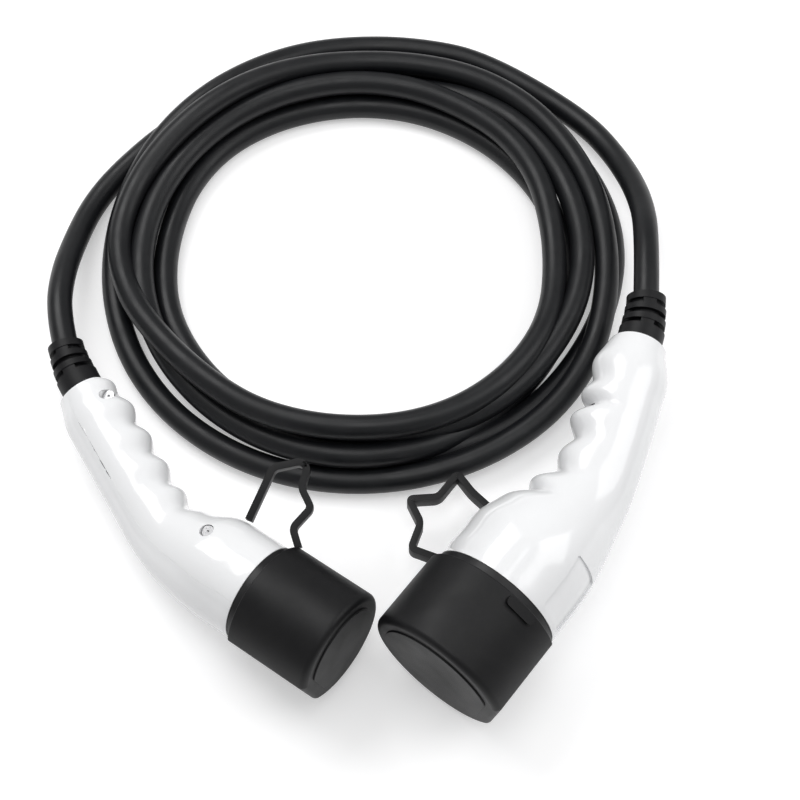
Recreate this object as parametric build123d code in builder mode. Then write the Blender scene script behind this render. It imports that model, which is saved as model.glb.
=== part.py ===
"""Charging lead for an electric car: a coiled cable with a plug on one end and a coupler on the other.

Frame, in millimetres: the lead lies on the floor at Z = 0. X runs from the station plug to the car
coupler and Y from their caps to the coil. The origin is under the middle of the two connectors.

A connector's own frame has its origin where the shell ends at the nose, X along the nose,
Z towards the handle's smooth back, and Y across the plane that the two shell halves meet in.
"""
from build123d import *
import math
import os

os.makedirs("parts", exist_ok=True)

# ---------------------------------------------------------------- sizes that both connectors share
CABLE_D = 13.5            # outside of the charging cable
POWER_CORE_D = 4.6        # insulated power core
PILOT_CORE_D = 2.0        # insulated signal core
CORE_BEND_R = 30.0
CORE_RING_R = 3.9         # power cores around the middle of the cable
PILOT_RING_R = 4.9
SHELL_WALL = 2.6
SHELL_GAP = 0.12          # seam between the two parts of the shell
SEAM_ANGLE = 26.0         # of the seam on the screw side, from the side towards the back
SEAM_STATIONS = 10
FIT = 0.1                 # clearance around a piece that is pushed in
CAP_FIT = 0.35            # clearance between a cap and the nose in it
CAP_GAP = 0.3             # between a cap's rim and the collar
NOSE_WALL = 2.8
COLLAR_LEN = 4.0          # band of the nose housing that shows between shell and cap
COLLAR_STEP = 0.5         # the band is this much smaller than the shell
FRONT_STRAIGHT = 20.0     # straight front of the shell, around the spigot
SPIGOT_LEN = 15.0         # rear of the nose housing, held inside the shell
SPIGOT_FIT = 0.35
BLOCK_REAR = -10.0        # rear and front of the block that the contacts stand in
BLOCK_FRONT = 3.0
RETAINER_T = 3.0
MATE_GAP = 4.5            # ring between a coupler's block and its shroud
FACE_SETBACK = 1.0        # from the shroud's end to the coupler's face
FACE_LIP = 2.0            # insulation in front of a socket contact
ENTRY_D = 6.6
PILOT_ENTRY_D = 3.5
BLANK_D = 8.0             # unused contact places
BLANK_DEPTH = 8.0
POWER_PIN_D = 6.0
PILOT_PIN_D = 3.0
POWER_BODY_D = 9.0
PILOT_BODY_D = 5.4
SOCKET_DEPTH = 24.0
PIN_LEN = 25.0
EARTH_LEAD = 3.0          # the earth pin is this much longer
PIN_TIP = 0.9
TAIL_D = 5.6              # crimp tail of a power contact
PILOT_TAIL_D = 2.8
TAIL_LEN = 9.0
SIDE_PITCH = 16.0         # from the earth contact to a power contact beside it
BLANK_PITCH_Y = 8.0
BLANK_PITCH_Z = 14.0
PILOT_PITCH_Y = 9.0
PILOT_PITCH_Z = 12.0
SEAL_W = 2.4
SEAL_T = 1.1
SEAL_AT = 5.0             # behind the shell's front
RESISTOR_D = 2.4
RESISTOR_LEN = 6.4
RESISTOR_LEG_D = 0.7
RESISTOR_BACK = 3.0       # behind the retainer
SCREW_HEAD_D = 6.0
SCREW_HEAD_T = 2.4
SCREW_D = 3.0
RECESS_D = 7.0            # round recess that a shell screw's head sits in
RECESS_DEPTH = 5.0
BOSS_D = 7.6
SCREW_BITE = 9.0          # of a shell screw in the far half
REAR_SCREW_IN = 17.0      # from the shell's mouth
SCALLOP_PITCH = 19.5
MOUTH_LEN = 22.0          # the grip eases into its mouth over this
BOOT_OUT = 27.0           # strain relief outside the shell
BOOT_LEAN = 14.0          # it leans this far to the fingers
BOOT_IN = 7.0
BOOT_NECK = 2.0           # depth of its ring grooves
BOOT_TAPER = 1.6
BOOT_GROOVES = 3
BOOT_GROOVE_W = 3.0
BOOT_RIB_W = 3.4
BOOT_PLAIN = 7.0          # from the mouth to the first groove
BOOT_WEB_W = 7.0          # web that bridges each groove on two sides
BOOT_WEB_STEP = 0.4
MOUTH_FIT = 0.25
GROMMET_LEN = 5.0
CLAMP_IN = 27.0           # middle of the clamp, from the shell's mouth
CLAMP_LEN = 10.0
CLAMP_W = 21.0
CLAMP_H = 16.6
CLAMP_ROUND = 4.0
CLAMP_SCREW_D = 2.0
CLAMP_HEAD_T = 1.4
CLAMP_SCREW_Y = 8.6
JACKET_PAST = 4.0         # cable jacket in front of the clamp
PANEL_IN = 7.0            # raised panel on a cap's end, in from its side
PANEL_T = 0.8
CAP_EDGE_R = 3.2
TAB_LEN = 5.0
TAB_W = 17.0
TAB_T = 1.4
TAB_ANGLE = 20.0          # from the side of the cap towards its flat
TAB_FROM_RIM = 1.2
D_CORNER_R = 4.0          # rounds where a flat meets the round of a nose or cap
TETHER_T = 3.2
TETHER_W = 7.4
TETHER_BEND_R = 2.4
LABEL_LEN = 31.0          # shallow recess for a rating label
LABEL_W = 24.0
LABEL_DEPTH = 1.1
LABEL_ANGLE = 55.0        # from the side of the shell towards its back
LABEL_FROM_FRONT = 3.5
LABEL_ROUND = 1.5

# ---------------------------------------------------------------- the two connectors
# front, grip and mouth hold a section's depth to the back, its depth to the fingers and its half width
PLUG = {
    "name": "plug", "pins": True,
    "nose_run": 60.0, "grip_run": 95.0, "bend": 24.0, "bend_r": 95.0,
    "front": (25.2, 26.6, 27.0), "bulge": 1.6,
    "grip": (18.2, 18.0, 16.8), "mouth": (13.9, 13.9, 13.9), "mouth_slant": 14.0,
    "shoulder_len": 30.0, "side_len": 48.0, "back_len": 64.0,
    "scallops": 5, "scallop_at": 52.0, "scallop_depth": 3.4,
    "bore_r": 21.6, "bore_flat": 19.0,
    "nose_r": 27.0, "nose_flat": 23.8, "nose_len": 43.0,
    "cap_len": 46.0, "cap_wall": 2.3,
    "nose_screw_at": 33.0, "nose_screw_z": -11.0,
    "collar": (-45.5, -50.5, 31.2), "heading": -35.5, "tilt": 5.0, "roll": 12.0,
}
COUPLER = {
    "name": "coupler", "pins": False,
    "nose_run": 86.0, "grip_run": 76.0, "bend": 20.0, "bend_r": 120.0,
    "front": (33.2, 34.4, 34.8), "bulge": 0.8,
    "grip": (20.6, 20.4, 18.6), "mouth": (14.8, 14.8, 14.8), "mouth_slant": 16.0,
    "shoulder_len": 42.0, "side_len": 62.0, "back_len": 84.0,
    "scallops": 4, "scallop_at": 66.0, "scallop_depth": 3.4,
    "bore_r": 28.8, "bore_flat": 26.4,
    "nose_r": 34.4, "nose_flat": 31.2, "nose_len": 39.0,
    "cap_len": 43.0, "cap_wall": 2.4,
    "nose_screw_at": 36.0, "nose_screw_z": -14.0,
    "collar": (69.5, -55.0, 37.2), "heading": -128.5, "tilt": 0.0, "roll": 8.0,
}

# ---------------------------------------------------------------- routes, chosen by hand
COIL_LOW = (148.0, 149.5)       # half axes of the strands that lie on the floor
COIL_LOW_AT = (0.0, 162.5)
COIL_HIGH = (131.0, 123.0)      # half axes of the strands stacked on them
COIL_HIGH_AT = (3.0, 147.0)
COIL_HOLE = (104.0, 101.5)
COIL_HEIGHT = 30.0
COIL_ROUND = 5.0
PLUG_ROUTE = [(-167.4, 132.1, 29.9), (-170, 180, 14), (-158, 221, 7), (-130, 251, 7), (-95, 267, 7)]
COUPLER_ROUTE = [(156.4, 153.7, 45.9), (157, 207, 27), (136, 256, 9), (88, 290, 7), (38, 301, 7)]
PLUG_STAR = [(-16.5, -6), (-5, 20), (9, 23), (12, 20), (9, 10), (14, 0), (5, -10), (8, -19.5)]
PLUG_STAR_PLANE = Plane(origin=(-34.5, -10.5, 44.5), x_dir=(1, 0, 0), z_dir=(0, -0.26, 0.966))
COUPLER_STAR = [(74, -6.5), (59.5, 8), (52.5, 18), (42.5, 5), (27.5, 4), (33.5, -9), (28.5, -23), (41.5, -28)]
COUPLER_STAR_PLANE = Plane.XY.offset(20)


def smooth(t):
    """Ease from 0 to 1 as t goes from 0 to 1, level at both ends."""
    t = min(max(t, 0.0), 1.0)
    return t * t * (3.0 - 2.0 * t)


def blend(a, b, t):
    return a + (b - a) * smooth(t)


# ---------------------------------------------------------------- the handle's line and sections
def spine(spec, s):
    """The plane across the handle, s behind the shell's front, looking to the nose.

    Behind the mouth it follows the strain relief, which leans further to the fingers.
    """
    bend = math.radians(spec["bend"])
    start = spec["nose_run"] - spec["bend_r"] * math.tan(bend / 2)
    turn = min(max((s - start) / spec["bend_r"], 0.0), bend)
    outside = max(s - handle_len(spec), 0.0)
    rest = max(s - start - spec["bend_r"] * bend, 0.0) - outside
    x = -min(s, start) - spec["bend_r"] * math.sin(turn) - rest * math.cos(bend)
    z = -spec["bend_r"] * (1 - math.cos(turn)) - rest * math.sin(bend)
    lean_r = BOOT_OUT / math.radians(BOOT_LEAN)
    lean = outside / lean_r
    x -= lean_r * (math.sin(bend + lean) - math.sin(bend))
    z -= lean_r * (math.cos(bend) - math.cos(bend + lean))
    turn += lean
    return Plane(origin=(x, 0, z), x_dir=(0, 1, 0), z_dir=(math.cos(turn), 0, math.sin(turn)))


def handle_len(spec):
    bend = math.radians(spec["bend"])
    corner = 2 * spec["bend_r"] * math.tan(bend / 2) - spec["bend_r"] * bend
    return spec["nose_run"] + spec["grip_run"] - corner


def section_sizes(spec, s, scalloped=True):
    """Depth to the back, depth to the fingers and half width of the shell, s behind its front."""
    front, grip, mouth = spec["front"], spec["grip"], spec["mouth"]
    past = s - FRONT_STRAIGHT
    shoulder = (past - spec["scallop_at"] + FRONT_STRAIGHT + spec["shoulder_len"]) / spec["shoulder_len"]
    back = blend(front[0], grip[0], past / spec["back_len"])
    finger = blend(front[1] + spec["bulge"] * smooth(past / FRONT_STRAIGHT), grip[1], shoulder)
    side = blend(front[2], grip[2], past / spec["side_len"])
    along = (s - spec["scallop_at"]) / SCALLOP_PITCH
    if scalloped and 0 < along < spec["scallops"]:
        finger -= spec["scallop_depth"] * (0.5 - 0.5 * math.cos(2 * math.pi * along))
    if not scalloped:
        finger -= spec["scallop_depth"] * smooth(along + 1)
    ease = (s - handle_len(spec) + MOUTH_LEN) / MOUTH_LEN
    return [blend(size, end, ease) for size, end in zip((back, finger, side), mouth)]


def add_outline(back, finger, side, points=16):
    """Face in the current sketch whose depth differs between the back (+Y) and the fingers (-Y)."""
    ring = []
    for i in range(points):
        angle = 2 * math.pi * i / points
        reach = back if math.cos(angle) > 0 else finger
        ring.append((side * math.sin(angle), reach * math.cos(angle)))
    with BuildLine(mode=Mode.PRIVATE) as curve:
        Spline(*ring, periodic=True)
    make_face(curve.line)


def add_front_outline(spec, shrink):
    back, finger, side = spec["front"]
    add_outline(back - shrink, finger - shrink, side - shrink)


def add_d(radius, flat, mode=Mode.ADD):
    """Round face with a flat towards the handle's back, its corners rounded."""
    with BuildSketch(mode=Mode.PRIVATE) as d:
        Circle(radius)
        with Locations((0, flat + radius)):
            Rectangle(2 * radius, 2 * radius, mode=Mode.SUBTRACT)
        fillet(d.vertices().group_by(Axis.Y)[-1], radius=D_CORNER_R)
    add(d.sketch, mode=mode)


def loft_handle(spec, shrink, scalloped, past_ends, mode=Mode.ADD):
    """The handle's outside, or its inside when shrunk by the wall, through crests and hollows."""
    length = handle_len(spec)
    step = SCALLOP_PITCH / 2
    grip = [spec["scallop_at"] + step * i for i in range(2 * spec["scallops"] + 1)]
    front = [FRONT_STRAIGHT * i / 3 for i in range(4)]
    middle = spread(FRONT_STRAIGHT, spec["scallop_at"], step)
    rear = [length - MOUTH_LEN * i / 4 for i in (4, 3, 2, 1, 0)]
    stations = front + middle + [s for s in grip if s < rear[0] - 2.0] + rear
    sections = []
    for s in stations:
        sizes = [size - shrink for size in section_sizes(spec, s, scalloped)]
        shift = past_ends * ((s == length) - (s == 0))
        with BuildSketch(spine(spec, s + shift), mode=Mode.PRIVATE) as section:
            add_outline(*sizes)
        sections.append(section.sketch)
    loft(sections, mode=mode)


def spread(start, end, step):
    """Stations strictly between start and end, about a step apart."""
    count = max(round((end - start) / step), 1)
    return [start + (end - start) * i / count for i in range(1, count)]


def mouth_cut(spec):
    """Plane of the shell's slanted rear edge, looking to the nose: the back ends first."""
    across = spine(spec, handle_len(spec) - 3.0)
    return across.rotated((spec["mouth_slant"], 0, 0))


def shell_screws_at(spec):
    """Plane and offset towards the fingers of each shell screw."""
    rear = handle_len(spec) - REAR_SCREW_IN
    rear_z = -(CABLE_D / 2 + BOSS_D / 2 + 0.4)
    return [(spec["nose_screw_at"], spec["nose_screw_z"]), (rear, rear_z)]


def recess_floor(spec, s, z):
    """How far from the mid-plane a screw's recess ends."""
    back, finger, side = section_sizes(spec, s)
    return side * math.sqrt(1 - (z / finger) ** 2) - RECESS_DEPTH


def cylinder_y(spec, s, z, y_from, y_to, diameter, mode=Mode.ADD):
    """Cylinder across the handle at depth z below its spine, from y_from to y_to."""
    at = spine(spec, s)
    centre = at.origin + at.y_dir * z
    plane = Plane(origin=(centre.X, y_from, centre.Z), x_dir=(1, 0, 0), z_dir=(0, 1, 0))
    with BuildSketch(plane, mode=Mode.PRIVATE) as circle:
        Circle(diameter / 2)
    extrude(circle.sketch, amount=y_to - y_from, mode=mode)


# ---------------------------------------------------------------- pieces of a connector
def make_whole_shell(spec):
    """The white handle before it is parted, with its bosses, screw recesses and label recess."""
    with BuildPart() as bosses:
        for s, z in shell_screws_at(spec):
            side = section_sizes(spec, s)[2]
            cylinder_y(spec, s, z, -side, side, BOSS_D)
    with BuildPart() as outside:
        loft_handle(spec, 0.0, True, 0.0)
    with BuildPart() as label:
        with BuildSketch(label_plane(spec)):
            RectangleRounded(LABEL_LEN, LABEL_W, LABEL_ROUND)
        extrude(amount=SHELL_WALL * 3)
        loft_handle(spec, LABEL_DEPTH, False, 1.0, mode=Mode.SUBTRACT)
    with BuildPart() as shell:
        loft_handle(spec, 0.0, True, 0.0)
        loft_handle(spec, SHELL_WALL, False, 1.0, mode=Mode.SUBTRACT)
        add(bosses.part & outside.part)
        split(bisect_by=mouth_cut(spec), keep=Keep.TOP)
        for s, z in shell_screws_at(spec):
            floor = recess_floor(spec, s, z)
            cylinder_y(spec, s, z, floor, floor + 3 * RECESS_DEPTH, RECESS_D, mode=Mode.SUBTRACT)
            cylinder_y(spec, s, z, -SCREW_BITE - 1, floor, SCREW_D + 2 * FIT, mode=Mode.SUBTRACT)
        add(label.part, mode=Mode.SUBTRACT)
    return shell


def make_seam_tool(spec, gap):
    """Everything on the screw side of the seam, which follows the handle.

    The seam runs along the middle of the finger side and along the screw side, nearer the back.
    """
    length = handle_len(spec)
    angle = math.radians(SEAM_ANGLE)
    stations = [length * i / SEAM_STATIONS for i in range(SEAM_STATIONS + 1)]
    sections = []
    for s in stations:
        back, finger, side = section_sizes(spec, s, False)
        foot = Vector(0, -finger)
        along = (Vector(side * math.cos(angle), back * math.sin(angle)) - foot).normalized()
        out = Vector(along.Y, -along.X)
        foot += out * gap
        reach = 2.5 * spec["front"][2]
        corners = [foot - along * reach, foot + along * reach]
        corners += [corners[1] + out * reach, corners[0] + out * reach]
        shift = 6.0 * ((s == length) - (s == 0))
        with BuildSketch(spine(spec, s + shift), mode=Mode.PRIVATE) as section:
            with BuildLine(mode=Mode.PRIVATE) as edge:
                Polyline(*[(c.X, c.Y) for c in corners], close=True)
            make_face(edge.line)
        sections.append(section.sketch)
    with BuildPart() as tool:
        loft(sections)
    return tool


def make_shell(spec, whole, screw_side):
    """One part of the white handle: the lid with the screws, or the deeper shell with the label."""
    tool = make_seam_tool(spec, SHELL_GAP if screw_side else 0.0)
    with BuildPart() as shell:
        add(whole.part)
        add(tool.part, mode=Mode.INTERSECT if screw_side else Mode.SUBTRACT)
    return shell


def label_plane(spec):
    """Plane under the label recess, looking out of the shell's label side."""
    angle = math.radians(LABEL_ANGLE)
    back, finger, side = spec["front"]
    out = Vector(0, -math.cos(angle), math.sin(angle))
    reach = 1 / math.hypot(math.cos(angle) / side, math.sin(angle) / back)
    middle = LABEL_FROM_FRONT + LABEL_LEN / 2
    sag = LABEL_W ** 2 / (8 * reach)
    origin = out * (reach - sag - 2 * LABEL_DEPTH) + Vector(-middle, 0, 0)
    return Plane(origin=origin, x_dir=(1, 0, 0), z_dir=out)


def make_nose_housing(spec):
    """Black housing: spigot in the shell, collar that shows, and the shroud around the contacts."""
    tip = COLLAR_LEN + spec["nose_len"]
    with BuildPart() as housing:
        with BuildSketch(Plane.YZ.offset(-SPIGOT_LEN)):
            add_front_outline(spec, SHELL_WALL + SPIGOT_FIT)
        extrude(amount=SPIGOT_LEN)
        with BuildSketch(Plane.YZ):
            add_front_outline(spec, COLLAR_STEP)
        extrude(amount=COLLAR_LEN)
        with BuildSketch(Plane.YZ.offset(COLLAR_LEN)):
            add_d(spec["nose_r"], spec["nose_flat"])
        extrude(amount=spec["nose_len"])
        fillet(housing.edges().group_by(Axis.X)[-1], radius=1.0)
        with BuildSketch(Plane.YZ.offset(-SPIGOT_LEN)):
            add_d(spec["bore_r"], spec["bore_flat"])
        extrude(amount=SPIGOT_LEN + BLOCK_FRONT, mode=Mode.SUBTRACT)
        with BuildSketch(Plane.YZ.offset(BLOCK_FRONT)):
            add_d(spec["nose_r"] - NOSE_WALL, spec["nose_flat"] - NOSE_WALL)
        extrude(amount=tip - BLOCK_FRONT, mode=Mode.SUBTRACT)
        with BuildSketch(Plane.YZ.offset(-SEAL_AT - SEAL_W)):
            add_front_outline(spec, SHELL_WALL - 1)
            add_seal_inside(spec)
        extrude(amount=SEAL_W, mode=Mode.SUBTRACT)
    return housing


def add_seal_inside(spec):
    back, finger, side = [size - SHELL_WALL - SEAL_T for size in spec["front"]]
    with BuildSketch(mode=Mode.PRIVATE) as inside:
        add_outline(back, finger, side)
    add(inside.sketch, mode=Mode.SUBTRACT)


def make_nose_seal(spec):
    """Rubber ring in the spigot's groove, against the inside of the shell."""
    with BuildPart() as seal:
        with BuildSketch(Plane.YZ.offset(-SEAL_AT - SEAL_W)):
            add_front_outline(spec, SHELL_WALL + FIT)
            add_seal_inside(spec)
        extrude(amount=SEAL_W)
    return seal


def places(kind):
    """Where the contacts of one kind stand, as seen along the nose."""
    if kind == "power":
        return [(-SIDE_PITCH, 0), (SIDE_PITCH, 0)]
    if kind == "earth":
        return [(0, 0)]
    if kind == "pilot":
        return [(-PILOT_PITCH_Y, PILOT_PITCH_Z), (PILOT_PITCH_Y, PILOT_PITCH_Z)]
    return [(-BLANK_PITCH_Y, -BLANK_PITCH_Z), (BLANK_PITCH_Y, -BLANK_PITCH_Z)]


def add_rods(kind, diameter, x_from, x_to, mode=Mode.ADD):
    with BuildSketch(Plane.YZ.offset(x_from), mode=Mode.PRIVATE) as circles:
        with Locations(*places(kind)):
            Circle(diameter / 2)
    extrude(circles.sketch, amount=x_to - x_from, mode=mode)


def block_face(spec):
    """Front of the contact block: flush inside a coupler's shroud, low in a plug's."""
    if spec["pins"]:
        return BLOCK_FRONT
    return COLLAR_LEN + spec["nose_len"] - FACE_SETBACK


def make_contact_carrier(spec):
    """Insulating block with a bore for each contact and a blind place for each unused one."""
    face = block_face(spec)
    body_end = face if spec["pins"] else face - FACE_LIP
    with BuildPart() as carrier:
        with BuildSketch(Plane.YZ.offset(BLOCK_REAR)):
            add_d(spec["bore_r"] - FIT, spec["bore_flat"] - FIT)
        extrude(amount=BLOCK_FRONT - BLOCK_REAR)
        if not spec["pins"]:
            inset = NOSE_WALL + MATE_GAP
            with BuildSketch(Plane.YZ.offset(BLOCK_FRONT)):
                add_d(spec["nose_r"] - inset, spec["nose_flat"] - inset)
            extrude(amount=face - BLOCK_FRONT)
            for kind in ("power", "earth"):
                add_rods(kind, ENTRY_D, body_end, face, mode=Mode.SUBTRACT)
            add_rods("pilot", PILOT_ENTRY_D, body_end, face, mode=Mode.SUBTRACT)
        for kind in ("power", "earth"):
            add_rods(kind, POWER_BODY_D + 2 * FIT, BLOCK_REAR, body_end, mode=Mode.SUBTRACT)
        add_rods("pilot", PILOT_BODY_D + 2 * FIT, BLOCK_REAR, body_end, mode=Mode.SUBTRACT)
        add_rods("blank", BLANK_D, face - BLANK_DEPTH, face, mode=Mode.SUBTRACT)
    return carrier


def make_contact_retainer(spec):
    """Plate behind the block that keeps the contacts in."""
    with BuildPart() as retainer:
        with BuildSketch(Plane.YZ.offset(BLOCK_REAR - RETAINER_T)):
            add_d(spec["bore_r"] - FIT, spec["bore_flat"] - FIT)
            for kind, diameter in (("power", TAIL_D), ("earth", TAIL_D), ("pilot", PILOT_TAIL_D)):
                with Locations(*places(kind)):
                    Circle(diameter / 2 + FIT, mode=Mode.SUBTRACT)
        extrude(amount=RETAINER_T)
    return retainer


def make_contacts(spec, kind):
    """Pins or sockets of one kind, each with its crimp tail."""
    pilot = kind == "pilot"
    body = PILOT_BODY_D if pilot else POWER_BODY_D
    pin = PILOT_PIN_D if pilot else POWER_PIN_D
    tail = PILOT_TAIL_D if pilot else TAIL_D
    front = block_face(spec) if spec["pins"] else block_face(spec) - FACE_LIP
    with BuildPart() as contacts:
        add_rods(kind, tail, tail_end(), BLOCK_REAR)
        add_rods(kind, body, BLOCK_REAR, front)
        if spec["pins"]:
            reach = PIN_LEN + (EARTH_LEAD if kind == "earth" else 0)
            add_rods(kind, pin, front, front + reach)
            chamfer(contacts.edges().group_by(Axis.X)[-1], length=PIN_TIP)
        else:
            add_rods(kind, pin, front - SOCKET_DEPTH, front, mode=Mode.SUBTRACT)
    return contacts


def tail_end():
    return BLOCK_REAR - RETAINER_T - TAIL_LEN


def make_coding_resistor(spec):
    """Resistor between the earth tail and one signal tail."""
    y, z = places("pilot")[0]
    span = math.hypot(y, z)
    along = Vector(0, y / span, z / span)
    x = BLOCK_REAR - RETAINER_T - RESISTOR_BACK
    gap = span - TAIL_D / 2 - PILOT_TAIL_D / 2
    start = Vector(x, 0, 0) + along * (TAIL_D / 2)
    with BuildPart() as resistor:
        with BuildSketch(Plane(origin=start, x_dir=(1, 0, 0), z_dir=along)):
            Circle(RESISTOR_LEG_D / 2)
        extrude(amount=gap)
        body_at = start + along * ((gap - RESISTOR_LEN) / 2)
        with BuildSketch(Plane(origin=body_at, x_dir=(1, 0, 0), z_dir=along)):
            Circle(RESISTOR_D / 2)
        extrude(amount=RESISTOR_LEN)
    return resistor


def jacket_front(spec):
    return handle_len(spec) - CLAMP_IN - CLAMP_LEN / 2 - JACKET_PAST


def make_cores(spec, kinds, diameter, ring_r, angles):
    """Cores from the cable's end to the contacts' tails, one long bend each."""
    ends = [place for kind in kinds for place in places(kind)]
    rear = spine(spec, jacket_front(spec))
    with BuildPart() as cores:
        for (y, z), degrees in zip(ends, angles):
            angle = math.radians(degrees)
            across, rise = ring_r * math.cos(angle), ring_r * math.sin(angle)
            aside = rear.x_dir * across + rear.y_dir * rise
            corner = Vector(-spec["nose_run"], 0, 0) + aside
            straight = Vector(tail_end() - CORE_BEND_R / 4, y, z)
            rear_end = rear.origin + aside
            with BuildLine() as path:
                FilletPolyline((tail_end(), y, z), straight, corner, rear_end,
                               radius=[CORE_BEND_R / 4, CORE_BEND_R])
            with BuildSketch(Plane(origin=(tail_end(), y, z), x_dir=(0, 1, 0), z_dir=(-1, 0, 0))):
                Circle(diameter / 2)
            sweep(path=path.line)
    return cores


def make_shell_screws(spec):
    """The screws that hold the two halves together."""
    with BuildPart() as screws:
        for s, z in shell_screws_at(spec):
            floor = recess_floor(spec, s, z)
            cylinder_y(spec, s, z, floor, floor + SCREW_HEAD_T, SCREW_HEAD_D)
            cylinder_y(spec, s, z, -SCREW_BITE, floor, SCREW_D)
            cylinder_y(spec, s, z, floor + SCREW_HEAD_T / 2, floor + SCREW_HEAD_T, SCREW_D / 2,
                       mode=Mode.SUBTRACT)
    return screws


def make_cable_clamp(spec):
    """Block around the cable that takes its pull."""
    with BuildPart() as clamp:
        with BuildSketch(spine(spec, handle_len(spec) - CLAMP_IN - CLAMP_LEN / 2)):
            RectangleRounded(CLAMP_W, CLAMP_H, CLAMP_ROUND)
            Circle(CABLE_D / 2, mode=Mode.SUBTRACT)
        extrude(amount=-CLAMP_LEN)
        middle = spine(spec, handle_len(spec) - CLAMP_IN)
        with BuildSketch(Plane(origin=middle.origin, x_dir=middle.x_dir, z_dir=middle.y_dir)):
            with Locations((-CLAMP_SCREW_Y, 0), (CLAMP_SCREW_Y, 0)):
                Circle(CLAMP_SCREW_D / 2 + FIT)
        extrude(amount=CLAMP_H, both=True, mode=Mode.SUBTRACT)
    return clamp


def make_clamp_screws(spec):
    middle = spine(spec, handle_len(spec) - CLAMP_IN)
    seat = middle.origin + middle.y_dir * (CLAMP_H / 2 - CLAMP_HEAD_T)
    with BuildPart() as screws:
        with BuildSketch(Plane(origin=seat, x_dir=middle.x_dir, z_dir=middle.y_dir)):
            with Locations((-CLAMP_SCREW_Y, 0), (CLAMP_SCREW_Y, 0)):
                Circle(CLAMP_SCREW_D / 2)
        extrude(amount=-(CLAMP_H - 2 * CLAMP_HEAD_T))
    return screws


def make_boot(spec):
    """Ribbed rubber strain relief: ring grooves bridged by webs that change side at each groove."""
    radius = spec["mouth"][0] - SHELL_WALL - MOUTH_FIT
    mouth = handle_len(spec)
    pitch = BOOT_GROOVE_W + BOOT_RIB_W
    with BuildPart() as boot:
        add_tube(spec, mouth - BOOT_IN, mouth, radius)
        add_tube(spec, mouth, mouth + BOOT_PLAIN, radius)
        add_tube(spec, mouth + BOOT_PLAIN, mouth + BOOT_OUT, radius - BOOT_TAPER - BOOT_NECK)
        for i in range(BOOT_GROOVES):
            groove = BOOT_PLAIN + pitch * i
            rib = mouth + groove + BOOT_GROOVE_W
            rib_end = rib + BOOT_RIB_W if i < BOOT_GROOVES - 1 else mouth + BOOT_OUT
            rib_r = radius - BOOT_TAPER * (i + 1) / BOOT_GROOVES
            add_tube(spec, rib, rib_end, rib_r)
            with BuildSketch(spine(spec, mouth + groove), mode=Mode.PRIVATE) as web:
                Circle(rib_r - BOOT_WEB_STEP)
                Rectangle(4 * radius, BOOT_WEB_W, rotation=90 * (i % 2), mode=Mode.INTERSECT)
            extrude(web.sketch, amount=-BOOT_GROOVE_W - 0.2)
        add_tube(spec, mouth - BOOT_IN, mouth, CABLE_D / 2, mode=Mode.SUBTRACT)
        add_tube(spec, mouth, mouth + BOOT_OUT, CABLE_D / 2, mode=Mode.SUBTRACT)
    return boot


def add_tube(spec, s_from, s_to, radius, mode=Mode.ADD):
    """Rod along the spine, straight inside the shell and on the strain relief's arc outside it."""
    with BuildSketch(spine(spec, s_from), mode=Mode.PRIVATE) as end:
        Circle(radius)
    if s_to <= handle_len(spec):
        extrude(end.sketch, amount=s_from - s_to, mode=mode)
    else:
        stops = [spine(spec, s).origin for s in (s_from, (s_from + s_to) / 2, s_to)]
        with BuildLine(mode=Mode.PRIVATE) as arc:
            ThreePointArc(*stops)
        sweep(end.sketch, path=arc.line, mode=mode)


def make_grommet(spec):
    """Rubber ring between the cable and the shell, in front of the strain relief."""
    rear = handle_len(spec) - BOOT_IN
    with BuildPart() as grommet:
        add_tube(spec, rear - GROMMET_LEN, rear, spec["mouth"][0] - SHELL_WALL - MOUTH_FIT)
        add_tube(spec, rear - GROMMET_LEN, rear, CABLE_D / 2, mode=Mode.SUBTRACT)
    return grommet


def make_cable_end(spec):
    """The cable's own end, from the clamp to the outer end of the strain relief."""
    mouth = handle_len(spec)
    with BuildPart() as cable:
        add_tube(spec, jacket_front(spec), mouth, CABLE_D / 2)
        add_tube(spec, mouth, mouth + BOOT_OUT, CABLE_D / 2)
    return cable


def make_cap(spec):
    """Rubber cap over the nose, with a raised panel on its end and a thumb tab by its rim."""
    inner_r, inner_flat = spec["nose_r"] + CAP_FIT, spec["nose_flat"] + CAP_FIT
    outer_r, outer_flat = inner_r + spec["cap_wall"], inner_flat + spec["cap_wall"]
    rim = COLLAR_LEN + CAP_GAP
    floor = COLLAR_LEN + spec["nose_len"] + CAP_FIT
    angle = math.radians(TAB_ANGLE)
    out = Vector(0, -math.cos(angle), math.sin(angle))
    with BuildPart() as cap:
        with BuildSketch(Plane.YZ.offset(rim)):
            add_d(outer_r, outer_flat)
        extrude(amount=spec["cap_len"])
        fillet(cap.edges().group_by(Axis.X)[-1], radius=CAP_EDGE_R)
        fillet(cap.edges().group_by(Axis.X)[0], radius=0.6)
        with BuildSketch(Plane.YZ.offset(rim + spec["cap_len"])):
            add_d(outer_r - PANEL_IN, outer_flat - PANEL_IN)
        extrude(amount=PANEL_T)
        fillet(cap.edges().group_by(Axis.X)[-1], radius=PANEL_T / 2)
        with BuildSketch(Plane(origin=out * (outer_r - TAB_W ** 2 / (8 * outer_r)) + Vector(
                rim + TAB_FROM_RIM + TAB_LEN / 2, 0, 0), x_dir=(1, 0, 0), z_dir=out)):
            RectangleRounded(TAB_LEN, TAB_W, TAB_LEN / 2 - 0.2)
        extrude(amount=TAB_T + TAB_W ** 2 / (8 * outer_r))
        with BuildSketch(Plane.YZ.offset(rim)):
            add_d(inner_r, inner_flat)
        extrude(amount=floor - rim, mode=Mode.SUBTRACT)
    return cap


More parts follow.
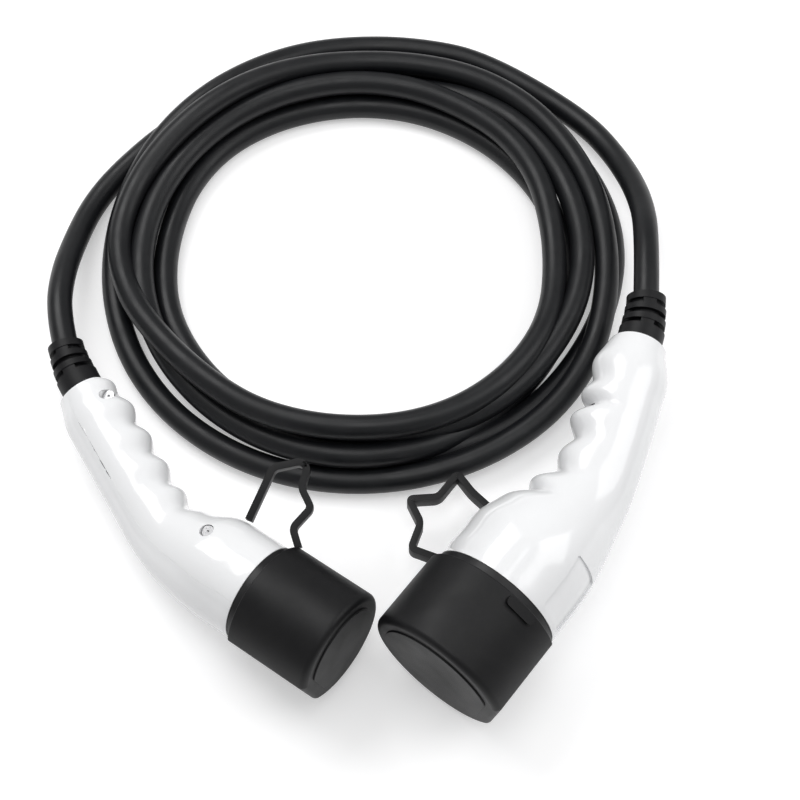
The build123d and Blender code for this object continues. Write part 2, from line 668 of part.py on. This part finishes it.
def make_tether(points, plane):
    """Rubber strap between shell and cap, bent into an open star."""
    with BuildPart() as tether:
        with BuildSketch(plane):
            with BuildLine():
                FilletPolyline(*points, radius=TETHER_BEND_R)
            trace(line_width=TETHER_T)
        extrude(amount=TETHER_W / 2, both=True)
    return tether


# ---------------------------------------------------------------- the cable outside the connectors
def make_lead(start, route):
    """Plain tube along one free end of the cable, with arcs as large as its runs allow."""
    points = [Vector(*p) for p in [start, *route]]
    radii = []
    for before, at, after in zip(points, points[1:], points[2:]):
        turn = math.radians((at - before).get_angle(after - at))
        run = min((at - before).length, (after - at).length)
        radii.append(0.45 * run / math.tan(turn / 2))
    with BuildPart() as lead:
        with BuildLine() as path:
            FilletPolyline(*points, radius=radii)
        first = points[1] - points[0]
        with BuildSketch(Plane(origin=points[0], z_dir=first)):
            Circle(CABLE_D / 2)
        sweep(path=path.line)
    length = sum(edge.length for edge in path.line.edges())
    ratio = lead.part.volume / (math.pi * CABLE_D ** 2 / 4 * length)
    print("lead", round(length, 1), "mm, radii", [round(r) for r in radii], "volume ratio", round(ratio, 4))
    return lead


def make_coil():
    """Closed outer shape of the coiled turns: a wide low ring with a narrower one stacked on it."""
    with BuildPart() as coil:
        for height, axes, middle in ((CABLE_D, COIL_LOW, COIL_LOW_AT), (COIL_HEIGHT, COIL_HIGH, COIL_HIGH_AT)):
            with BuildSketch():
                with Locations(middle):
                    Ellipse(*axes)
            extrude(amount=height)
        with BuildSketch():
            with Locations(COIL_HIGH_AT):
                Ellipse(*COIL_HOLE)
        extrude(amount=COIL_HEIGHT, mode=Mode.SUBTRACT)
        fillet(coil.edges().group_by(Axis.Z)[-1], radius=COIL_ROUND)
    return coil


# ---------------------------------------------------------------- places and files
def connector_plane(spec):
    """The connector's own frame as it lies on the floor."""
    heading, tilt, roll = (math.radians(spec[key]) for key in ("heading", "tilt", "roll"))
    nose = Vector(math.cos(heading) * math.cos(tilt), math.sin(heading) * math.cos(tilt), math.sin(tilt))
    outward = 1 if spec["pins"] else -1
    level = Vector(0, 0, 1).cross(nose).normalized() * -outward
    upright = nose.cross(level).normalized() * outward
    if upright.Z < 0:
        upright = upright * -1
    return Plane(origin=spec["collar"], x_dir=nose, z_dir=level * math.cos(roll) - upright * math.sin(roll))


def save(piece, name, plane=Plane.XY):
    with BuildPart() as placed:
        with Locations(plane.location):
            add(piece.part)
    placed.part.label = name
    export_step(placed.part, f"parts/{name}.step")
    return placed.part


def build_connector(spec):
    whole = make_whole_shell(spec)
    pieces = {
        "shell_screw_side": make_shell(spec, whole, True),
        "shell_label_side": make_shell(spec, whole, False),
        "shell_screws": make_shell_screws(spec),
        "nose_housing": make_nose_housing(spec),
        "nose_seal": make_nose_seal(spec),
        "contact_carrier": make_contact_carrier(spec),
        "contact_retainer": make_contact_retainer(spec),
        "power_contacts": make_contacts(spec, "power"),
        "earth_contact": make_contacts(spec, "earth"),
        "pilot_contacts": make_contacts(spec, "pilot"),
        "coding_resistor": make_coding_resistor(spec),
        "power_cores": make_cores(spec, ("power", "earth"), POWER_CORE_D, CORE_RING_R, (210, 330, 90)),
        "pilot_cores": make_cores(spec, ("pilot",), PILOT_CORE_D, PILOT_RING_R, (150, 30)),
        "clamp_screws": make_clamp_screws(spec),
        "cable_clamp": make_cable_clamp(spec),
        "cable_grommet": make_grommet(spec),
        "cable_end": make_cable_end(spec),
        "strain_relief_boot": make_boot(spec),
        "cap": make_cap(spec),
    }
    for name, piece in pieces.items():
        save(piece, f"{spec['name']}_{name}", connector_plane(spec))


def cable_exit(spec):
    """Plane of the strain relief's outer end, in the lead's frame, looking along the cable."""
    end = spine(spec, handle_len(spec) + BOOT_OUT)
    plane = connector_plane(spec)
    return Plane(origin=plane.from_local_coords(end.origin),
                 z_dir=plane.from_local_coords(end.origin - end.z_dir) - plane.from_local_coords(end.origin))


for connector, route in ((PLUG, PLUG_ROUTE), (COUPLER, COUPLER_ROUTE)):
    build_connector(connector)
    leaving = cable_exit(connector)
    print(connector["name"], "cable leaves at", leaving.origin, "towards", leaving.z_dir)
    save(make_lead(leaving.origin, route), f"{connector['name']}_lead")
save(make_coil(), "cable_coil")
save(make_tether(PLUG_STAR, PLUG_STAR_PLANE), "plug_cap_tether")
save(make_tether(COUPLER_STAR, COUPLER_STAR_PLANE), "coupler_cap_tether")
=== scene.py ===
"""Looks for the two-ended charging lead: coiled cable, tethers, finishes, light and camera."""
import math

import bpy
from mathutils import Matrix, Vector


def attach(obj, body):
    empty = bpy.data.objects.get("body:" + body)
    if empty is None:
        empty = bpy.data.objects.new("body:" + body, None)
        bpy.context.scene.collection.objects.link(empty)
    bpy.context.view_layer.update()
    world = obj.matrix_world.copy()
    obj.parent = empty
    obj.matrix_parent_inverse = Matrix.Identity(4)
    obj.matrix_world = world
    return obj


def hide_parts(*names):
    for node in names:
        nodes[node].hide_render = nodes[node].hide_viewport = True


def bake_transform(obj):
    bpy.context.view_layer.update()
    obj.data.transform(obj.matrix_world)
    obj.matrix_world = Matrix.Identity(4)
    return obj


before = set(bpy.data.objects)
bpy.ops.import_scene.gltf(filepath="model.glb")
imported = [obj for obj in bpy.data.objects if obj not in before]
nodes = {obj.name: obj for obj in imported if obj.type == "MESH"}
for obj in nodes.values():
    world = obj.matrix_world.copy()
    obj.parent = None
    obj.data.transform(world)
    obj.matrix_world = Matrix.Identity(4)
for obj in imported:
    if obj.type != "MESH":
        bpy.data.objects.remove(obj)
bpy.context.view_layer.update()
bpy.ops.object.select_all(action="DESELECT")

MM = 0.001
CABLE_D = 0.0135          # outside diameter

# ---------------------------------------------------------------- camera
AIM = Vector((0.023, 0.072, 0.0))
VIEW_HEIGHT = math.radians(63.0)
VIEW_DISTANCE = 0.85
lens = bpy.data.cameras.new("camera")
lens.lens = 70.8
lens.sensor_width = 36.0
camera = bpy.data.objects.new("camera", lens)
bpy.context.scene.collection.objects.link(camera)
camera.location = AIM + VIEW_DISTANCE * Vector((0, -math.cos(VIEW_HEIGHT), math.sin(VIEW_HEIGHT)))
camera.rotation_euler = (math.pi / 2 - VIEW_HEIGHT, 0, 0)
bpy.context.scene.camera = camera

# ---------------------------------------------------------------- the cable
PLUG_EXIT = (-154.217, 90.139, 27.271)
PLUG_ROUTE = [(-160, 110, 28.5), (-161, 137, 24), (-158.5, 165, 14), (-152, 193, 8), (-137, 218, 7)]
COUPLER_EXIT = (152.812, 110.538, 42.519)
COUPLER_ROUTE = [(155.5, 143, 44), (157.5, 180, 30), (149, 220, 14), (129, 254, 8)]
INNER_MIDDLE, INNER_RADII = (3.0, 147.0), (111.0, 108.5)
OUTER_MIDDLE, OUTER_RADII = (0.0, 162.5), (141.25, 142.75)
POINTS_PER_TURN = 24
ROUNDING = 1.006          # the spline runs this much inside its points
EIGHTH = 45
# The turns from the lowest up. At each eighth of a turn, clockwise from the back: how far out the
# cable lies (0 on the inner ring, 1 on the outer) and its height.
TURNS = [
    [(0.70, 7), (0.85, 7), (1.08, 7), (0.75, 7), (0.20, 7), (0.25, 7), (0.42, 7), (0.54, 7)],
    [(0.43, 7), (0.50, 17), (0.38, 19), (0.10, 19), (-0.25, 17), (-0.15, 12), (0.00, 8), (0.21, 7)],
    [(0.16, 7), (0.12, 7), (0.10, 7), (0.05, 7), (0.45, 18), (0.35, 15), (0.36, 19), (0.34, 20)],
    [(0.31, 20), (0.20, 20), (-0.22, 18), (-0.20, 25), (-0.12, 30), (0.12, 30), (0.76, 20), (0.52, 31)],
    [(0.60, 20), (0.80, 19), (0.86, 16), (1.20, 12), (0.95, 7), (0.98, 7), (0.88, 7), (0.80, 20)],
]
ENTERING = [(-52, 0.92), (-30, 0.80), (-15, 0.74)]     # angle and place, low under the turns
LEAVING = [(1.04, 7), (1.26, 7)]                       # on from the last turn to the coupler
END_ANGLE = 40
FLOOR_HEIGHT = 7                                       # the cable's middle where it lies on the floor


def coil_point(angle, out, height):
    """Point of the coil at an angle clockwise from the back."""
    middle = [a + out * (b - a) for a, b in zip(INNER_MIDDLE, OUTER_MIDDLE)]
    radii = [(a + out * (b - a)) * ROUNDING for a, b in zip(INNER_RADII, OUTER_RADII)]
    turn = math.radians(angle)
    return (middle[0] + radii[0] * math.sin(turn), middle[1] + radii[1] * math.cos(turn), height)


def coil_points():
    """The turns one after another, each eighth of a turn eased into the next."""
    stations = [station for turn in TURNS for station in turn] + LEAVING
    points = [coil_point(angle, out, FLOOR_HEIGHT) for angle, out in ENTERING]
    step = 360 / POINTS_PER_TURN
    steps = int((360 * len(TURNS) + END_ANGLE) / step)
    for index in range(steps + 1):
        angle = index * step
        eighth, part = divmod(angle / EIGHTH, 1)
        ease = part * part * (3 - 2 * part)
        pair = zip(stations[int(eighth)], stations[int(eighth) + 1])
        points.append(coil_point(angle, *[now + ease * (then - now) for now, then in pair]))
    return points


def make_cable():
    """One open spline from connector to connector, with a round section."""
    route = [PLUG_EXIT, *PLUG_ROUTE, *coil_points(), *reversed(COUPLER_ROUTE), COUPLER_EXIT]
    curve = bpy.data.curves.new("cable", "CURVE")
    curve.dimensions = "3D"
    spline = curve.splines.new("NURBS")
    spline.points.add(len(route) - 1)
    for point, place in zip(spline.points, route):
        point.co = (*[value * MM for value in place], 1.0)
    spline.order_u = 3
    spline.use_endpoint_u = True
    spline.resolution_u = 8
    curve.bevel_depth = CABLE_D / 2
    curve.bevel_resolution = 7
    curve.use_fill_caps = True
    cable = bpy.data.objects.new("cable", curve)
    bpy.context.scene.collection.objects.link(cable)
    return cable


cable = make_cable()


# ---------------------------------------------------------------- finishes
def new_group(name, inputs, outputs):
    """Empty shader node group with named number inputs and outputs."""
    group = bpy.data.node_groups.new(name, "ShaderNodeTree")
    for label, value in inputs:
        socket = group.interface.new_socket(label, in_out="INPUT", socket_type="NodeSocketFloat")
        socket.default_value = value
    for label in outputs:
        group.interface.new_socket(label, in_out="OUTPUT", socket_type="NodeSocketFloat")
    return group, group.nodes.new("NodeGroupInput"), group.nodes.new("NodeGroupOutput")


def noise_of_size(group, size, detail):
    """Noise whose features are as many millimetres across as the size socket says."""
    place = group.nodes.new("ShaderNodeTexCoord")
    scale = group.nodes.new("ShaderNodeMath")
    scale.operation = "DIVIDE"
    scale.inputs[0].default_value = 1 / MM
    noise = group.nodes.new("ShaderNodeTexNoise")
    noise.inputs["Detail"].default_value = detail
    group.links.new(size, scale.inputs[1])
    group.links.new(place.outputs["Object"], noise.inputs["Vector"])
    group.links.new(scale.outputs[0], noise.inputs["Scale"])
    return noise


def multiply(group, first, second):
    """Product of two sockets."""
    product = group.nodes.new("ShaderNodeMath")
    product.operation = "MULTIPLY"
    group.links.new(first, product.inputs[0])
    group.links.new(second, product.inputs[1])
    return product.outputs[0]


def make_grain_group():
    """Fine moulded grain: a height for bump and a slow drift for roughness."""
    group, given, result = new_group(
        "moulded_grain", [("Grain size", 0.4), ("Drift size", 25.0)], ["Height", "Drift"])
    for size, output, detail in (("Grain size", "Height", 3), ("Drift size", "Drift", 2)):
        noise = noise_of_size(group, given.outputs[size], detail)
        group.links.new(noise.outputs["Fac"], result.inputs[output])
    return group


def make_dust_group():
    """Mask of faint dust and rub marks, thickest on surfaces that face up."""
    group, given, result = new_group("faint_dust", [("Amount", 0.1), ("Patch size", 12.0)], ["Mask"])
    noise = noise_of_size(group, given.outputs["Patch size"], 6)
    noise.inputs["Roughness"].default_value = 0.65
    patches = group.nodes.new("ShaderNodeMapRange")
    patches.inputs["From Min"].default_value = 0.42
    patches.inputs["From Max"].default_value = 0.75
    group.links.new(noise.outputs["Fac"], patches.inputs["Value"])
    facing = group.nodes.new("ShaderNodeNewGeometry")
    parts = group.nodes.new("ShaderNodeSeparateXYZ")
    upward = group.nodes.new("ShaderNodeMapRange")
    upward.inputs["From Min"].default_value = -0.4
    group.links.new(facing.outputs["Normal"], parts.inputs[0])
    group.links.new(parts.outputs["Z"], upward.inputs["Value"])
    both = multiply(group, patches.outputs[0], upward.outputs[0])
    group.links.new(multiply(group, both, given.outputs["Amount"]), result.inputs["Mask"])
    return group


GRAIN, DUST = make_grain_group(), make_dust_group()


BUMP_STRENGTH = 0.6
COAT_ROUGHNESS = 0.06
DUST_TINT, DUST_LIFT = 0.55, 0.14        # dust left to itself is a paler, greyer shade of the surface


def finish(name, colour, rough, grain_size, grain_depth, dust=0.1, drift=0.06, dust_colour=None,
           metallic=0.0, coat=0.0, specular=0.5, drift_size=25.0):
    """Moulded or drawn surface: colour with faint dust, drifting roughness and fine grain (mm)."""
    material = bpy.data.materials.new(name)
    material.use_nodes = True
    tree = material.node_tree
    shader = tree.nodes["Principled BSDF"]
    shader.inputs["Metallic"].default_value = metallic
    shader.inputs["Specular IOR Level"].default_value = specular
    shader.inputs["Coat Weight"].default_value = coat
    shader.inputs["Coat Roughness"].default_value = COAT_ROUGHNESS
    grain = tree.nodes.new("ShaderNodeGroup")
    grain.node_tree = GRAIN
    grain.inputs["Grain size"].default_value = grain_size
    grain.inputs["Drift size"].default_value = drift_size
    dusting = tree.nodes.new("ShaderNodeGroup")
    dusting.node_tree = DUST
    dusting.inputs["Amount"].default_value = dust
    mix = tree.nodes.new("ShaderNodeMix")
    mix.data_type = "RGBA"
    mix.inputs["A"].default_value = (*colour, 1)
    dust_colour = dust_colour or tuple(min(1.0, DUST_TINT * c + DUST_LIFT) for c in colour)
    mix.inputs["B"].default_value = (*dust_colour, 1)
    tree.links.new(dusting.outputs["Mask"], mix.inputs["Factor"])
    tree.links.new(mix.outputs["Result"], shader.inputs["Base Color"])
    rough_map = tree.nodes.new("ShaderNodeMapRange")
    rough_map.inputs["From Min"].default_value = 0.3
    rough_map.inputs["From Max"].default_value = 0.7
    rough_map.inputs["To Min"].default_value = max(0.02, rough - drift)
    rough_map.inputs["To Max"].default_value = min(1.0, rough + drift)
    tree.links.new(grain.outputs["Drift"], rough_map.inputs["Value"])
    tree.links.new(rough_map.outputs["Result"], shader.inputs["Roughness"])
    bump = tree.nodes.new("ShaderNodeBump")
    bump.inputs["Strength"].default_value = BUMP_STRENGTH
    bump.inputs["Distance"].default_value = grain_depth * MM
    tree.links.new(grain.outputs["Height"], bump.inputs["Height"])
    tree.links.new(bump.outputs["Normal"], shader.inputs["Normal"])
    return material


FINISHES = {
    "white_shell": finish("white_shell", (0.86, 0.865, 0.875), 0.15, 1.6, 0.01, dust=0.05, drift=0.04,
                          dust_colour=(0.70, 0.69, 0.67), coat=0.35),
    "screw_steel": finish("screw_steel", (0.55, 0.55, 0.56), 0.32, 0.5, 0.02, dust=0.1, metallic=1.0),
    "black_housing": finish("black_housing", (0.008, 0.008, 0.009), 0.38, 0.35, 0.03, specular=0.3),
    "seal_rubber": finish("seal_rubber", (0.02, 0.02, 0.021), 0.62, 0.3, 0.03, specular=0.3),
    "contact_block": finish("contact_block", (0.034, 0.034, 0.036), 0.5, 0.35, 0.03),
    "contact_metal": finish("contact_metal", (0.76, 0.76, 0.73), 0.24, 0.5, 0.01, dust=0.05,
                            dust_colour=(0.45, 0.42, 0.36), metallic=1.0),
    "resistor_body": finish("resistor_body", (0.33, 0.47, 0.6), 0.4, 0.5, 0.01),
    "core_insulation": finish("core_insulation", (0.10, 0.10, 0.12), 0.42, 0.5, 0.02),
    "signal_insulation": finish("signal_insulation", (0.42, 0.24, 0.08), 0.42, 0.5, 0.02),
    "clamp_plastic": finish("clamp_plastic", (0.18, 0.18, 0.19), 0.5, 0.4, 0.03),
    "cable_jacket": finish("cable_jacket", (0.0055, 0.006, 0.0072), 0.40, 0.5, 0.05, dust=0.10, drift=0.06,
                           dust_colour=(0.05, 0.052, 0.056), drift_size=14.0, specular=0.32),
    "boot_rubber": finish("boot_rubber", (0.005, 0.005, 0.006), 0.5, 0.35, 0.05, dust=0.08,
                          dust_colour=(0.05, 0.05, 0.05), specular=0.25),
    "cap_rubber": finish("cap_rubber", (0.0048, 0.0048, 0.0055), 0.48, 0.3, 0.06, dust=0.08, drift=0.06,
                         dust_colour=(0.045, 0.045, 0.045), specular=0.25),
}

for node in nodes.values():
    for index, slot in enumerate(node.material_slots):
        for key, material in FINISHES.items():
            if slot.material.name.startswith(key):
                node.data.materials[index] = material
                break


# ---------------------------------------------------------------- straps of the caps
STRAP_W, STRAP_T = 0.0074, 0.0036
STRAP_BEND = 0.0024
STRAP_EDGE = 0.0007
NEAR = 1e-5
PLUG_STAR = [(-16.5, -6), (-5, 20), (9, 23), (12, 20), (9, 10), (14, 0), (5, -10), (8, -19.5)]
PLUG_STAR_MIDDLE = Vector((-34.5, -10.5, 44.5)) * MM
PLUG_STAR_UP = Vector((0, -0.26, 0.966)).normalized()
COUPLER_STAR = [(74, -6.5), (59.5, 8), (52.5, 18), (42.5, 5), (27.5, 4), (33.5, -9), (28.5, -23), (41.5, -28)]
COUPLER_STAR_MIDDLE = Vector((0, 0, 20)) * MM


def select_edges(mesh, places):
    """Selects only the edges that have their middle at one of the places."""
    for part in (*mesh.polygons, *mesh.vertices):
        part.select = False
    for edge in mesh.edges:
        first, second = (mesh.vertices[index].co for index in edge.vertices)
        edge.select = any(((first + second) / 2 - place).length < NEAR for place in places)


def make_strap(name, star, middle, up):
    """Flat strap on edge, folded through the points of a star, with rounded bends and edges."""
    side = Vector((1, 0, 0))
    across = up.cross(side).normalized()
    half = up * STRAP_W / 2
    points = [middle + side * x * MM + across * y * MM for x, y in star]
    bpy.ops.object.select_all(action="DESELECT")
    bpy.ops.mesh.primitive_plane_add(size=STRAP_W)
    strap = bpy.context.object
    strap.name = name
    ends = [points[0] - half, points[0] + half, points[1] - half, points[1] + half]
    for vertex, end in zip(sorted(strap.data.vertices, key=lambda v: (v.co.x, v.co.y)), ends):
        vertex.co = end
    bpy.context.tool_settings.mesh_select_mode = (False, True, False)
    select_edges(strap.data, [points[1]])
    bpy.ops.object.mode_set(mode="EDIT")
    for before, after in zip(points[1:], points[2:]):
        bpy.ops.mesh.extrude_region_move(TRANSFORM_OT_translate={"value": after - before})
    bpy.ops.object.mode_set(mode="OBJECT")
    select_edges(strap.data, points[1:-1])
    bpy.ops.object.mode_set(mode="EDIT")
    bpy.ops.mesh.bevel(offset=STRAP_BEND, segments=6, affect="EDGES")
    bpy.ops.mesh.select_all(action="SELECT")
    bpy.ops.mesh.normals_make_consistent(inside=False)
    bpy.ops.object.mode_set(mode="OBJECT")
    thick = strap.modifiers.new("thickness", "SOLIDIFY")
    thick.thickness = STRAP_T
    thick.offset = 0
    edges = strap.modifiers.new("edges", "BEVEL")
    edges.width = STRAP_EDGE
    edges.segments = 3
    edges.limit_method = "ANGLE"
    edges.angle_limit = math.radians(60)
    for modifier in (thick.name, edges.name):
        bpy.ops.object.modifier_apply(modifier=modifier)
    bpy.ops.object.shade_smooth_by_angle(angle=math.radians(35))
    strap.data.materials.append(FINISHES["cap_rubber"])
    return strap


plug_strap = make_strap("plug_strap", PLUG_STAR, PLUG_STAR_MIDDLE, PLUG_STAR_UP)
coupler_strap = make_strap("coupler_strap", COUPLER_STAR, COUPLER_STAR_MIDDLE, Vector((0, 0, 1)))
for strap, node in ((plug_strap, "plug_cap_tether"), (coupler_strap, "coupler_cap_tether")):
    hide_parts(node)
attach(plug_strap, "lead")
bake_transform(coupler_strap)

# ---------------------------------------------------------------- the cable: jacket finish, on the lead's body, in place of the CAD leads
cable.data.materials.append(FINISHES["cable_jacket"])
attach(cable, "lead")
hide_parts("cable_coil", "plug_lead", "coupler_lead")


# ---------------------------------------------------------------- floor, backdrop and light
BACKDROP_GREY = (0.78, 0.78, 0.785, 1)
BACKDROP_GLOW = 0.38
SKY_LIGHT = 0.42


def backdrop_material():
    """White to the camera and in reflections, and it keeps the object's shadow."""
    material = bpy.data.materials.new("backdrop")
    material.use_nodes = True
    tree = material.node_tree
    tree.nodes.clear()
    out = tree.nodes.new("ShaderNodeOutputMaterial")
    matt = tree.nodes.new("ShaderNodeBsdfDiffuse")
    matt.inputs["Color"].default_value = BACKDROP_GREY
    glow = tree.nodes.new("ShaderNodeEmission")
    glow.inputs["Color"].default_value = (1, 1, 1, 1)
    light = tree.nodes.new("ShaderNodeLightPath")
    seen = tree.nodes.new("ShaderNodeMath")
    seen.operation = "MAXIMUM"
    tree.links.new(light.outputs["Is Camera Ray"], seen.inputs[0])
    also = tree.nodes.new("ShaderNodeMath")
    also.operation = "MAXIMUM"
    tree.links.new(light.outputs["Is Glossy Ray"], also.inputs[0])
    tree.links.new(light.outputs["Is Transmission Ray"], also.inputs[1])
    tree.links.new(also.outputs[0], seen.inputs[1])
    strength = tree.nodes.new("ShaderNodeMath")
    strength.operation = "MULTIPLY"
    strength.inputs[1].default_value = BACKDROP_GLOW
    tree.links.new(seen.outputs[0], strength.inputs[0])
    tree.links.new(strength.outputs[0], glow.inputs["Strength"])
    add = tree.nodes.new("ShaderNodeAddShader")
    tree.links.new(matt.outputs[0], add.inputs[0])
    tree.links.new(glow.outputs[0], add.inputs[1])
    tree.links.new(add.outputs[0], out.inputs["Surface"])
    return material


bpy.ops.object.select_all(action="DESELECT")
bpy.ops.mesh.primitive_plane_add(size=8, location=(0, 0, -0.0002))
floor = bpy.context.object
floor.name = "floor"
floor.data.materials.append(backdrop_material())

world = bpy.data.worlds.new("studio")
world.use_nodes = True
bpy.context.scene.world = world
tree = world.node_tree
backing = tree.nodes["Background"]
backing.inputs["Color"].default_value = (1, 1, 1, 1)
light = tree.nodes.new("ShaderNodeLightPath")
seen = tree.nodes.new("ShaderNodeMapRange")
seen.inputs["To Min"].default_value = SKY_LIGHT
seen.inputs["To Max"].default_value = 1.0
tree.links.new(light.outputs["Is Camera Ray"], seen.inputs["Value"])
tree.links.new(seen.outputs["Result"], backing.inputs["Strength"])


LAMP_AIM = Vector((0.0, 0.05, 0.0))


def soft_box(name, place, size, power):
    """Large rectangular lamp that points at the object."""
    lamp = bpy.data.lights.new(name, "AREA")
    lamp.shape = "RECTANGLE"
    lamp.size, lamp.size_y = size
    lamp.energy = power
    box = bpy.data.objects.new(name, lamp)
    bpy.context.scene.collection.objects.link(box)
    box.location = place
    box.rotation_euler = (LAMP_AIM - Vector(place)).to_track_quat("-Z", "Y").to_euler()


soft_box("key_light", (-0.55, 0.75, 1.15), (0.9, 0.7), 9.0)
soft_box("fill_light", (0.95, 0.15, 0.9), (0.7, 0.9), 4.5)
soft_box("top_light", (0.0, 0.0, 1.5), (0.8, 0.8), 5.0)

bpy.context.scene.view_settings.view_transform = "Standard"
